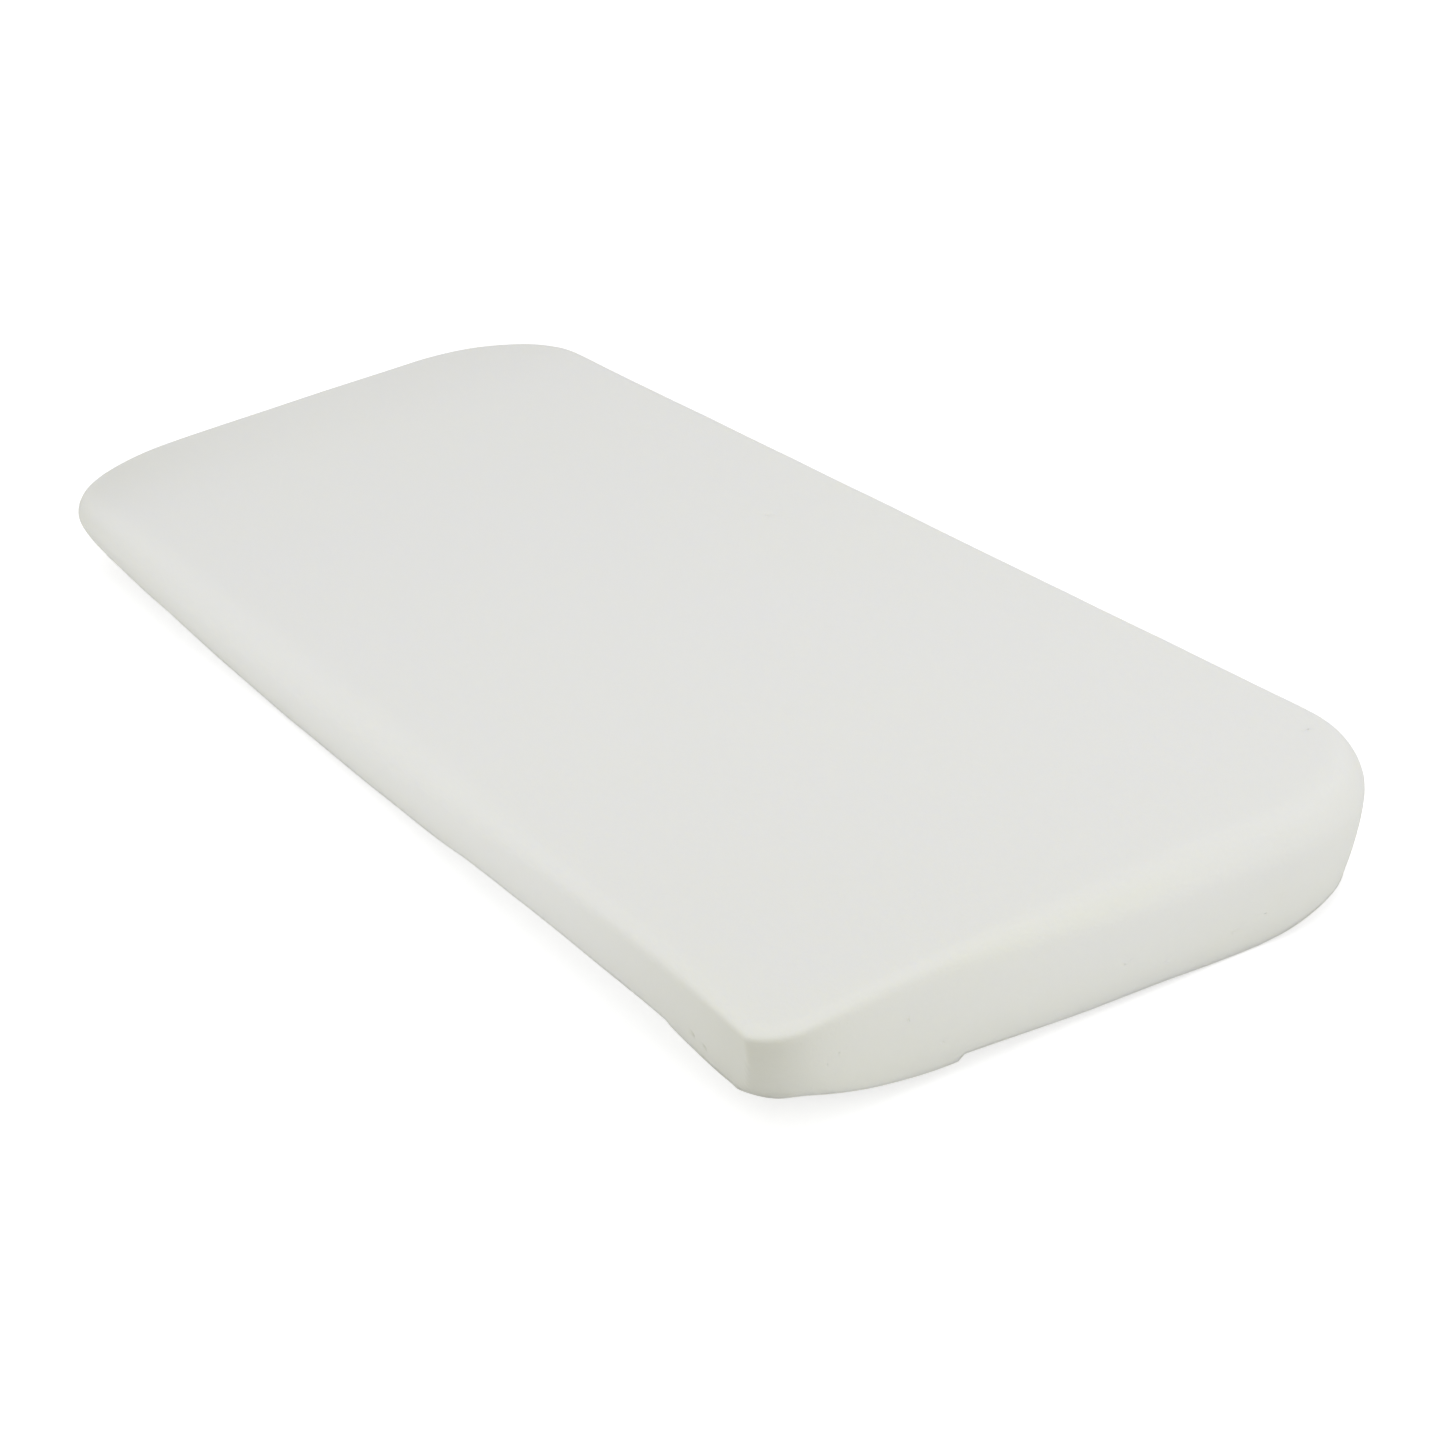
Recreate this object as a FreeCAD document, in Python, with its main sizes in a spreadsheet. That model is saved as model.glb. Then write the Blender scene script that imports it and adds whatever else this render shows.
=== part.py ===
import FreeCAD, Part
import math
import os
import Sketcher

# A bare moulded memory foam mattress for a pram or carrycot, in millimetres.
# Frame: origin at the centre of the underside, +X towards the end whose left corner is tight,
# +Y towards the right long side as seen from that end, +Z up.
# From the top down, the side rounds over, stands upright for a short band, curves in to a lower
# edge that was trimmed by hand, and is bevelled from there to the flat underside.

DIMENSIONS = [
    ("mattress_length", 750.0, "overall length, at the widest level of the side"),
    ("mattress_width", 280.0, "overall width, at the widest level of the side"),
    ("mattress_thickness", 50.0, "overall thickness, underside to top face"),
    ("top_edge_radius", 9.0, "rounding of the top edge"),
    ("upright_band", 2.0, "upright stretch of the side, just under the top edge's rounding"),
    ("undercut_knee", 3.0, "how far the side has curved in halfway down to the lower edge"),
    ("undercut_foot", 10.0, "how far the side has curved in at the lower edge"),
    ("trim_height", 4.0, "height of the trimmed lower edge above the underside"),
    ("trim_bevel", 10.0, "how far the trimming cuts in from the lower edge to the underside"),
    ("corner_near_right", 68.0, "plan radius of the near right corner, at the top"),
    ("corner_far_right", 70.0, "plan radius of the far right corner, at the top"),
    ("corner_far_left", 66.0, "plan radius of the far left corner, at the top"),
    ("corner_near_left", 11.0, "plan radius of the tight near left corner, at the top"),
    ("corner_near_left_foot", 50.0, "plan radius of the near left corner at the lower edge"),
    ("skin_wall", 1.2, "thickness of the moulded skin"),
    ("skin_clearance", 0.3, "space between the skin and what it wraps"),
    ("underside_skin_wall", 1.2, "thickness of the skin on the underside"),
    ("support_layer_height", 21.0, "thickness of the firm support foam"),
    ("bond_film_thickness", 0.4, "thickness of the adhesive film between the foams"),
    ("bond_film_margin", 3.0, "how far the film stops short of the foam's edge"),
    ("flash_thickness", 0.8, "thickness of the flash left along the lower edge"),
    ("flash_width", 1.5, "how far the flash stands out from the lower edge"),
]

CORNERS = ["near_left", "near_right", "far_right", "far_left"]
SIDES = ["near_end", "right_side", "far_end", "left_side"]
WAIST = "(<mattress_thickness> - <top_edge_radius> - <upright_band>)"


def make_sheet(doc):
    """The driving dimensions, one row each: name, number, meaning."""
    sheet = doc.addObject("Spreadsheet::Sheet", "dimensions")
    for row, (alias, value, meaning) in enumerate(DIMENSIONS, start=1):
        sheet.set("A%d" % row, alias)
        sheet.set("B%d" % row, "%g" % value)
        sheet.set("C%d" % row, meaning)
        sheet.setAlias("B%d" % row, alias)
    doc.recompute()


def cell(text):
    """An expression in which every <dimension> is read from the sheet."""
    return text.replace("<", "dimensions.").replace(">", "")


def origin_plane(body, role):
    """One of the body's own origin planes."""
    return [feature for feature in body.Origin.OriginFeatures if feature.Role == role][0]


def outline_sketch(body, name, level, inset, near_left_radius):
    """The mattress's plan at one level: a rectangle with a radius of its own at each corner.

    level, inset (from the widest outline) and near_left_radius are expressions."""
    sketch = body.newObject("Sketcher::SketchObject", name)
    sketch.AttachmentSupport = [(origin_plane(body, "XY_Plane"), "")]
    sketch.MapMode = "FlatFace"
    sketch.setExpression("AttachmentOffset.Base.z", cell(level))

    # a rough square to start from: the constraints below give it its size
    reach, rough_radius = 100.0, 10.0
    along = [1, 1, -1, -1]
    across = [-1, 1, 1, -1]
    arcs = []
    for corner in range(4):
        centre = FreeCAD.Vector(along[corner], across[corner], 0) * (reach - rough_radius)
        circle = Part.Circle(centre, FreeCAD.Vector(0, 0, 1), rough_radius)
        start = (corner - 1) * math.pi / 2
        arc = Part.ArcOfCircle(circle, start, start + math.pi / 2)
        arcs.append(sketch.addGeometry(arc, False))
    lines = []
    for corner in range(4):
        begin = sketch.getPoint(arcs[corner], 2)
        end = sketch.getPoint(arcs[(corner + 1) % 4], 1)
        lines.append(sketch.addGeometry(Part.LineSegment(begin, end), False))

    for corner in range(4):
        following = (corner + 1) % 4
        sketch.addConstraint(Sketcher.Constraint("Tangent", arcs[corner], 2, lines[corner], 1))
        sketch.addConstraint(Sketcher.Constraint("Tangent", lines[corner], 2, arcs[following], 1))
    for side in range(4):
        direction = "Vertical" if SIDES[side].endswith("end") else "Horizontal"
        sketch.addConstraint(Sketcher.Constraint(direction, lines[side]))

    radius = {corner: "<corner_%s> - (%s)" % (corner, inset) for corner in CORNERS}
    radius["near_left"] = near_left_radius
    for corner in range(4):
        name_radius = CORNERS[corner] + "_radius"
        index = sketch.addConstraint(Sketcher.Constraint("Radius", arcs[corner], rough_radius))
        sketch.renameConstraint(index, name_radius)
        sketch.setExpression("Constraints." + name_radius, cell(radius[CORNERS[corner]]))
    reach_of = {
        "near_end": ("DistanceX", "<mattress_length> / 2"),
        "far_end": ("DistanceX", "<mattress_length> / 2"),
        "right_side": ("DistanceY", "<mattress_width> / 2"),
        "left_side": ("DistanceY", "<mattress_width> / 2"),
    }
    origin = (-1, 1)
    for side in range(4):
        kind, half = reach_of[SIDES[side]]
        on_line = (lines[side], 1)
        ends = origin + on_line if side < 2 else on_line + origin
        index = sketch.addConstraint(Sketcher.Constraint(kind, *ends, reach))
        sketch.renameConstraint(index, SIDES[side])
        sketch.setExpression("Constraints." + SIDES[side], cell("%s - (%s)" % (half, inset)))
    return sketch


def edges_at(shape, level):
    """Names of the edges that lie wholly at one level."""
    names = []
    for number, edge in enumerate(shape.Edges, start=1):
        box = edge.BoundBox
        if abs(box.ZMin - level) < 1e-4 and abs(box.ZMax - level) < 1e-4:
            names.append("Edge%d" % number)
    return names


def mattress_form(doc, name, shrink, ruled=True):
    """The mattress's outer form, smaller all round and lower by shrink (an expression).

    The upper side is a pad with a rounded top edge. Below the waist the side is lofted through
    the knee, halfway down, to the foot, which is the trimmed lower edge. The last loft is the
    bevel from the foot to the sole, which is the flat underside."""
    body = doc.addObject("PartDesign::Body", name)
    radius_at_waist = "<corner_near_left> - (%s)" % shrink
    radius_at_foot = "<corner_near_left_foot> - (%s)" % shrink
    radius_at_knee = "(%s + %s) / 2" % (radius_at_waist, radius_at_foot)
    radius_at_sole = radius_at_foot + " - <trim_bevel>"
    inset_at_knee = "<undercut_knee> + " + shrink
    inset_at_foot = "<undercut_foot> + " + shrink
    inset_at_sole = inset_at_foot + " + <trim_bevel>"
    height_of_knee = "(%s + <trim_height>) / 2" % WAIST

    rim = outline_sketch(body, name + "_rim", WAIST, shrink, radius_at_waist)
    doc.recompute()
    upper = body.newObject("PartDesign::Pad", name + "_upper_side")
    upper.Profile = rim
    upper.setExpression("Length", cell("<mattress_thickness> - (%s) - %s" % (shrink, WAIST)))
    doc.recompute()
    rounding = body.newObject("PartDesign::Fillet", name + "_top_edge")
    rounding.Base = (upper, edges_at(upper.Shape, upper.Shape.BoundBox.ZMax))
    rounding.setExpression("Radius", cell("<top_edge_radius> - (%s)" % shrink))
    body.Tip = rounding
    doc.recompute()

    waist = outline_sketch(body, name + "_waist", WAIST, shrink, radius_at_waist)
    knee = outline_sketch(body, name + "_knee", height_of_knee, inset_at_knee, radius_at_knee)
    foot = outline_sketch(body, name + "_foot", "<trim_height>", inset_at_foot, radius_at_foot)
    doc.recompute()
    side = body.newObject("PartDesign::AdditiveLoft", name + "_side")
    side.Profile = foot
    side.Sections = [knee, waist]
    side.Ruled = ruled
    body.Tip = side
    doc.recompute()

    sole = outline_sketch(body, name + "_sole", "0", inset_at_sole, radius_at_sole)
    edge = outline_sketch(body, name + "_edge", "<trim_height>", inset_at_foot, radius_at_foot)
    doc.recompute()
    bevel = body.newObject("PartDesign::AdditiveLoft", name + "_trim_bevel")
    bevel.Profile = sole
    bevel.Sections = [edge]
    bevel.Ruled = True
    body.Tip = bevel
    doc.recompute()
    return body


def slab(doc, name, bottom, height):
    """A block larger than the mattress in plan, from one level up by a height (expressions)."""
    block = doc.addObject("Part::Box", name)
    block.setExpression("Length", cell("<mattress_length>"))
    block.setExpression("Width", cell("<mattress_width>"))
    block.setExpression("Height", cell(height))
    block.setExpression("Placement.Base.x", cell("-<mattress_length> / 2"))
    block.setExpression("Placement.Base.y", cell("-<mattress_width> / 2"))
    block.setExpression("Placement.Base.z", cell(bottom))
    return block


def layer(doc, name, form, bottom, height):
    """The slice of a form between two levels."""
    common = doc.addObject("Part::Common", name)
    common.Base = form
    common.Tool = slab(doc, name + "_levels", bottom, height)
    return common


def moulded_skin(doc, outer, hollow):
    """The closed skin that the mould leaves over the top and round the side."""
    skin = doc.addObject("Part::Cut", "moulded_skin")
    skin.Base = outer
    skin.Tool = hollow
    return skin


def trimmed_flash(doc, outer):
    """The thin flash left round the lower edge, cut to fit against the side."""
    body = doc.addObject("PartDesign::Body", "flash_plate")
    plan = outline_sketch(
        body, "flash_plan", "<trim_height>", "<undercut_foot> - <flash_width>",
        "<corner_near_left_foot> + <flash_width>")
    plate = body.newObject("PartDesign::Pad", "flash_pad")
    plate.Profile = plan
    plate.setExpression("Length", cell("<flash_thickness>"))
    flash = doc.addObject("Part::Cut", "trimmed_flash")
    flash.Base = body
    flash.Tool = outer
    return flash


def check_document(doc, parts):
    """Stop if any object failed, or any sub-part is empty or broken."""
    for item in doc.Objects:
        if "Invalid" in item.State or "Error" in item.State:
            raise RuntimeError("%s failed: %s" % (item.Name, item.State))
    for part in parts:
        if part.Shape.isNull() or not part.Shape.isValid() or not part.Shape.Solids:
            raise RuntimeError("%s has no valid solid" % part.Label)


def main():
    doc = FreeCAD.newDocument("memory_foam_mattress")
    make_sheet(doc)
    wall = "<skin_wall>"
    inside = wall + " + <skin_clearance>"
    outer = mattress_form(doc, "outer_form", "0", ruled=False)
    hollow = mattress_form(doc, "hollow_form", wall)
    foam = mattress_form(doc, "foam_form", inside)
    film = mattress_form(doc, "film_form", inside + " + <bond_film_margin>")

    support_top = "<underside_skin_wall> + <support_layer_height>"
    film_top = support_top + " + <bond_film_thickness>"
    parts = [
        moulded_skin(doc, outer, hollow),
        layer(doc, "memory_foam_layer", foam, film_top, "<mattress_thickness>"),
        layer(doc, "bond_film", film, support_top, "<bond_film_thickness>"),
        layer(doc, "support_foam_layer", foam, "<underside_skin_wall>", "<support_layer_height>"),
        layer(doc, "underside_skin", foam, "0", "<underside_skin_wall>"),
        trimmed_flash(doc, outer),
    ]
    for part in parts:
        part.Label = part.Name
    doc.recompute()
    check_document(doc, parts)

    os.makedirs("parts", exist_ok=True)
    for part in parts:
        part.Shape.exportStep("parts/%s.step" % part.Label)
        box = part.Shape.BoundBox
        print("%s: %d solid(s), %.0f mm3, %.1f x %.1f x %.1f" % (
            part.Label, len(part.Shape.Solids), part.Shape.Volume,
            box.XLength, box.YLength, box.ZLength))


main()
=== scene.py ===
"""A bare moulded memory foam mattress for a pram or carrycot, dressed over its CAD frame.

The frame is in metres: origin at the centre of the underside, +X towards the near end, whose
left corner is tight, +Y towards the right long side, +Z up. Each piece starts as a blank slab
with the mattress's full plan, and is then settled into the moulding's real, slightly uneven form.
"""

import math

import bmesh
import bpy
from bpy.props import FloatProperty, FloatVectorProperty, PointerProperty
from bpy.types import Operator, Panel, PropertyGroup
from mathutils import Matrix, Vector, noise


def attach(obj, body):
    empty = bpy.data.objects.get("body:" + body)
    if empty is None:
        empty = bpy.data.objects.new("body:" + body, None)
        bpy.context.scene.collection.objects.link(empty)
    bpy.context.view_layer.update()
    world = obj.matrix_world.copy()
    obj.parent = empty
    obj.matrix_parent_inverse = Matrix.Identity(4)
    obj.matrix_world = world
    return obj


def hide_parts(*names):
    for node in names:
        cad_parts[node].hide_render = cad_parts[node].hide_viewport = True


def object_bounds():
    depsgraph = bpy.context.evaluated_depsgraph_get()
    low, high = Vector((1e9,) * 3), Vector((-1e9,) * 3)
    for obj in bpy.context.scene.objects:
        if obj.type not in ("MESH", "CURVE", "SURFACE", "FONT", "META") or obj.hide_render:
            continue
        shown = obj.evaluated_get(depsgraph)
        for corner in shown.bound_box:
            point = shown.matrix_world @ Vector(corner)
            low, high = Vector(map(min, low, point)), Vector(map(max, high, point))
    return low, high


bl_info = {
    "name": "Moulded Foam Mattress",
    "version": (1, 0, 0),
    "blender": (4, 5, 0),
    "location": "View3D > Sidebar > Mattress",
    "description": "Builds a bare moulded memory foam mattress over its CAD frame",
    "category": "Object",
}

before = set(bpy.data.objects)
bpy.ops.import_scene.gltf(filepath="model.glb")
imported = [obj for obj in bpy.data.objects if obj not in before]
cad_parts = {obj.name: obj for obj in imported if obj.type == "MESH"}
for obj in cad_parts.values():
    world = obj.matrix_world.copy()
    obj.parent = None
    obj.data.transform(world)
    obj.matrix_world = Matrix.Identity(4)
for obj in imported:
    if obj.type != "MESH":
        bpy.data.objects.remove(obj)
CAD_LOW, CAD_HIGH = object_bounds()
CAD_SIZE = CAD_HIGH - CAD_LOW
MM = 0.001
SAME = 0.01 * MM    # places that are this close count as the same

# The corners of the plan, by the signs of x and y.
NEAR_LEFT, NEAR_RIGHT, FAR_RIGHT, FAR_LEFT = (1, -1), (1, 1), (-1, 1), (-1, -1)

# How high the trimmed lower edge stands above the underside, in millimetres:
# along the near end, as (distance from the left side, height),
NEAR_TRIM = (
    (0, 11), (25, 19.2), (34, 12.8), (50, 7.5), (66, 4.4), (76.5, 4), (79, 6.5), (90, 5.8),
    (110, 4.2), (130, 2.8), (160, 2.2), (185, 0.8), (200, 0.5), (240, 5.9), (280, 5),
)
# and along the left side, as (distance from the near end, height).
LEFT_TRIM = (
    (0, 11), (25, 5.9), (43, 9.8), (50, 9.3), (66, 11.3), (79, 14.2), (81, 15.9), (100, 16.2),
    (130, 16.2), (170, 15.8), (210, 14.4), (245, 12.8), (258, 11.4), (264, 10.2), (300, 6.9),
    (335, 5.3), (360, 3.8), (405, 3.4), (455, 2), (480, 3.4), (540, 7.3), (590, 12.3),
    (678, 11.6), (680, 12.5), (750, 12.2),
)

# Pinholes that the mould's vents and trapped bubbles left, in millimetres:
# on the near end, as (distance from the left side, height, width),
NEAR_PINHOLES = (
    (24, 27, 1.2), (28, 30, 1.0), (55, 32, 1.6), (69, 15, 1.4), (143, 17, 1.2), (161, 10, 1.4),
    (189, 11, 1.5), (203, 14, 1.4),
)
# on the left side, as (distance from the near end, height, width),
LEFT_PINHOLES = ((50, 19, 2.0), (57, 21, 2.2))
# and on the top, as (distance from the near end, distance from the left side, width).
TOP_PINHOLES = ((56, 264, 1.4), (397, 230, 1.4))


# ---------------------------------------------------------------------------------------------
# Settings
# ---------------------------------------------------------------------------------------------

def length_setting(name, description, millimetres):
    return FloatProperty(
        name=name, description=description, default=millimetres * MM, unit="LENGTH", precision=4
    )


def colour_setting(name, description, rgb):
    return FloatVectorProperty(
        name=name, description=description, default=rgb, size=3, min=0, max=1, subtype="COLOR"
    )


class MattressShape(PropertyGroup):
    """Sizes of the moulding."""
    length: FloatProperty(
        name="Length", description="Overall length, from the CAD frame",
        default=CAD_SIZE.x, unit="LENGTH", precision=4)
    width: FloatProperty(
        name="Width", description="Overall width, from the CAD frame",
        default=CAD_SIZE.y, unit="LENGTH", precision=4)
    thickness: FloatProperty(
        name="Thickness", description="Overall thickness, from the CAD frame",
        default=CAD_SIZE.z, unit="LENGTH", precision=4)
    top_rounding: length_setting("Top rounding", "Rounding of the top edge", 9)
    end_rounding: length_setting(
        "End rounding", "Rounding of the top edge on the near end, beside the tight corner", 5)
    right_rounding: length_setting(
        "Right rounding", "Rounding of the top edge round the near right corner", 15.5)
    left_rounding: length_setting(
        "Left rounding", "Rounding of the left side's top edge, beside the tight corner", 7)
    left_far_rounding: length_setting(
        "Left far rounding", "Rounding of the left side's top edge, towards the thin corner", 15)
    thin_rounding: length_setting("Thin rounding", "Rounding at the thin far left corner", 4.5)
    upright_band: length_setting("Upright band", "Upright stretch of side below the rounding", 2)
    undercut: length_setting("Undercut", "How far the side has curved in at the underside", 11)
    undercut_curve: FloatProperty(
        name="Undercut curve", description="Above 1, most of the undercut is low on the side",
        default=1.5, min=1, max=3)
    near_right: length_setting("Near right corner", "Plan radius of this corner", 68)
    far_right: length_setting("Far right corner", "Plan radius of this corner", 70)
    far_left: length_setting("Far left corner", "Plan radius of this corner", 66)
    near_left: length_setting(
        "Near left corner", "Plan radius of the tight corner, at the top", 20)
    near_left_crease: FloatProperty(
        name="Near left crease", description="How sharply the tight corner meets the left side",
        default=math.radians(29), subtype="ANGLE")
    near_left_foot: length_setting("Near left foot", "Plan radius of it at the underside", 50)
    near_left_rise: length_setting("Near left rise", "Top face's rise at this corner", 0.5)
    near_right_rise: length_setting("Near right rise", "Top face's rise at this corner", -0.7)
    far_right_rise: length_setting("Far right rise", "Top face's rise at this corner", -0.2)
    far_left_rise: length_setting("Far left rise", "Top face's rise at the thin corner", -12.6)
    near_left_dip: length_setting("Near left dip", "How far the tight corner's tip droops", 5.5)
    far_left_dip: length_setting("Far left dip", "How far the thin corner's nose droops", 1.8)
    far_left_lift: length_setting("Far left lift", "How far the thin corner curls up", 2.9)
    near_left_fullness: length_setting(
        "Near left fullness", "Less undercut round this corner", 0.3)
    far_left_tuck: length_setting("Far left tuck", "More undercut round this corner", 6.2)
    panel_thickness: length_setting("Underside panel", "Thickness of the underside's skin", 1.2)
    flash_thickness: length_setting("Flash thickness", "Thickness of the flash strip", 0.35)
    flash_stand: length_setting("Flash stand", "How far the flash strip stands out at most", 0.3)
    unevenness: length_setting("Unevenness", "Height of the gentle waves in the surface", 0.25)
    column_spacing: length_setting("Column spacing", "Spacing of the mesh's cuts", 8)


class FoamFinish(PropertyGroup):
    """Colours and surface of the foam."""
    foam: colour_setting("Foam", "Colour of the foam's skin", (0.800, 0.801, 0.783))
    # This yellower colour is partly the foam's yellowing and partly painted side light: the sides,
    # the low parts and the tight corner are painted yellower and a little lighter than the top.
    aged: colour_setting(
        "Aged foam", "Yellower tint along the edges and low down", (0.806, 0.811, 0.724))
    # This dull olive colour is painted shade: it darkens the foam beside the tight corner's crease,
    # along both sides from there, on two rolled top edges, round the thin corner, towards the far
    # end and in pits.
    soiled: colour_setting("Soiled foam", "Dull tint round the tight corner", (0.606, 0.606, 0.532))
    cell_size: length_setting("Cell size", "Size of the skin's finest cells", 1.2)
    roughness: FloatProperty(
        name="Roughness", description="Roughness of the skin", default=0.72, min=0, max=1)
    glow: FloatProperty(
        name="Glow", description="Share of light that scatters inside", default=0.35, min=0,
        max=1)
    glow_depth: length_setting("Glow depth", "How far light scatters inside", 6)


class StudioSetup(PropertyGroup):
    """Camera, lamps and floor."""
    azimuth: FloatProperty(
        name="Azimuth", description="Camera's turn round the mattress",
        default=math.radians(64.08), subtype="ANGLE")
    elevation: FloatProperty(
        name="Elevation", description="Camera's height above the horizon",
        default=math.radians(24.47), subtype="ANGLE")
    roll: FloatProperty(
        name="Roll", description="Camera's turn about its own axis",
        default=math.radians(-7.57), subtype="ANGLE")
    distance: length_setting("Distance", "Camera to the mattress's middle", 1381.3)
    pan: length_setting("Pan", "Camera's sideways step", 45.0)
    tilt: length_setting("Tilt", "Camera's step upwards", -37.4)
    aim_height: length_setting("Aim height", "Height of the point that the camera looks at", 24)
    lens: FloatProperty(
        name="Lens", description="Focal length in millimetres", default=79.16, min=10, max=200)
    floor_size: length_setting("Floor size", "Width of the floor", 9000)
    floor: colour_setting("Floor", "Colour of the floor", (0.90, 0.90, 0.90))
    floor_shade: FloatProperty(
        name="Floor shade", description="How strongly the camera sees shadows on the floor",
        default=0.65, min=0, max=1)
    floor_lift: FloatProperty(
        name="Floor lift", description="White added to the floor for the camera alone",
        default=0.66, min=0, max=1)
    sky: FloatProperty(
        name="Sky", description="Strength of the even light from all round", default=0.722, min=0)
    left_lamp: FloatProperty(
        name="Left lamp", description="Power of the softbox on the left", default=6.6,
        unit="POWER")
    right_lamp: FloatProperty(
        name="Right lamp", description="Power of the softbox on the right", default=5.0,
        unit="POWER")
    top_lamp: FloatProperty(
        name="Top lamp", description="Power of the softbox overhead", default=5.1, unit="POWER")


# ---------------------------------------------------------------------------------------------
# The moulding's form
# ---------------------------------------------------------------------------------------------

def clamp(value, low=0.0, high=1.0):
    """The value, kept between two limits."""
    return max(low, min(high, value))


def ease(value):
    """0 up to 0, 1 beyond 1, and smooth between."""
    t = clamp(value)
    return t * t * (3 - 2 * t)


def grow(value, start, run):
    """0 up to a start, 1 beyond a run from there, and smooth between."""
    return ease((value - start) / run)


def bell(value, middle, spread):
    """1 at a middle, falling off smoothly on both sides of it."""
    return math.exp(-((value - middle) / spread) ** 2)


def height_between(marks, distance):
    """Height at a distance along a run of marks, in metres, with no overshoot between them."""
    at = clamp(distance / MM, marks[0][0], marks[-1][0])
    i = max(k for k in range(len(marks) - 1) if marks[k][0] <= at)
    (start, low), (end, high) = marks[i], marks[i + 1]

    def slope(k):
        return (marks[k + 1][1] - marks[k][1]) / (marks[k + 1][0] - marks[k][0])

    def tangent(k):
        if k == 0 or k == len(marks) - 1 or slope(k - 1) * slope(k) <= 0:
            return 0.0
        return 2 * slope(k - 1) * slope(k) / (slope(k - 1) + slope(k))

    run = end - start
    t = (at - start) / run
    value = (
        (2 * t ** 3 - 3 * t ** 2 + 1) * low + (t ** 3 - 2 * t ** 2 + t) * run * tangent(i)
        + (3 * t ** 2 - 2 * t ** 3) * high + (t ** 3 - t ** 2) * run * tangent(i + 1)
    )
    return value * MM


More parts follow.
